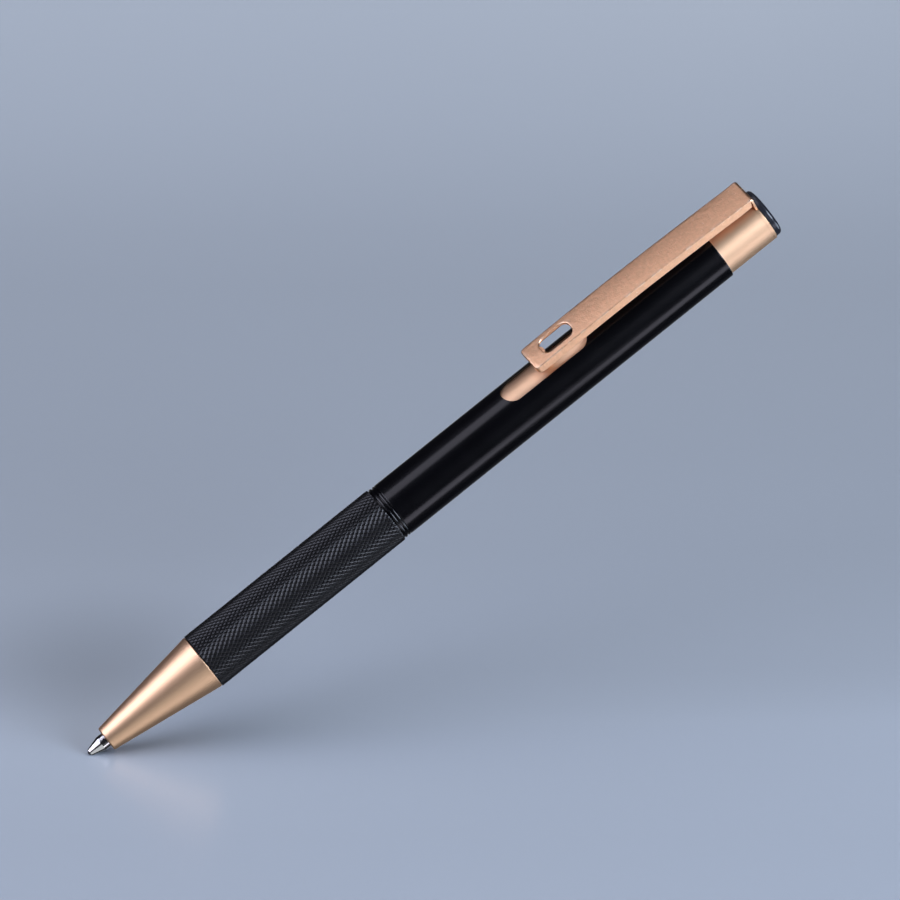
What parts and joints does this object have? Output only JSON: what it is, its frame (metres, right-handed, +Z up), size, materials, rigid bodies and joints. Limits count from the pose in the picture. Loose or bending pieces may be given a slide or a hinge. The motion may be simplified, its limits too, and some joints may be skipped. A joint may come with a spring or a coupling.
{
  "type": "retractable ballpoint pen",
  "caption": "Retractable metal ballpoint pen with knurled grip, slotted barrel, channel clip on a sliding press cap, cam mechanism and spring-returned refill.",
  "frame": {"origin": "under the middle of the pen's length, on the plane that the grip touches when the pen lies down", "axes": "+X along the pen from the writing tip to the finial, +Z up through the clip, +Y completes a right-handed frame"},
  "size_m": [0.1398, 0.01, 0.0132],
  "materials": {
    "champagne_metal": "satin champagne-gold anodised metal",
    "blasted_copper": "fine-blasted copper-rose metal",
    "knurled_black": "diamond-knurled metal, satin black",
    "black_lacquer": "semi-gloss black lacquer",
    "smoked_black": "gloss smoked black",
    "bright_steel": "bright turned metal",
    "turned_brass": "turned brass",
    "polished_carbide": "polished tungsten carbide",
    "white_nylon": "moulded white nylon",
    "grey_nylon": "moulded grey nylon",
    "ink_tube_plastic": "extruded ink tube",
    "blue_ink": "paste ink"
  },
  "bodies": {
    "body": {"nose_cone": "champagne_metal", "grip": "knurled_black", "joint_ring": "black_lacquer", "connector": "black_lacquer", "barrel": "black_lacquer", "carrier_tube": "bright_steel", "cam_housing": "white_nylon", "return_spring": "bright_steel"},
    "plunger": {"sleeve": "champagne_metal", "clip": "blasted_copper", "clip_screw": "bright_steel", "finial": "smoked_black", "end_plug": "turned_brass", "pusher": "grey_nylon"},
    "refill": {"refill_tube": "ink_tube_plastic", "refill_plug": "white_nylon", "tip_holder": "turned_brass", "tip_cone": "bright_steel", "ball": "polished_carbide", "ink": "blue_ink"},
    "rotor": {"rotor": "grey_nylon"}
  },
  "joints": [
    {"name": "plunger_slide", "type": "slide", "parent": "body", "child": "plunger", "axis": [1, 0, 0], "range_m": [-0.0012, 0.0056]},
    {"name": "refill_slide", "type": "slide", "parent": "body", "child": "refill", "axis": [1, 0, 0], "range_m": [-0.0012, 0.0056], "deforming": ["return_spring"]},
    {"name": "rotor_turn", "type": "hinge", "parent": "refill", "child": "rotor", "pos_m": [0.031, 0, 0.005], "axis": [1, 0, 0], "continuous": true}
  ],
  "couplings": [
    {"joint": "refill_slide", "follows": "plunger_slide", "ratio": 1}
  ]
}
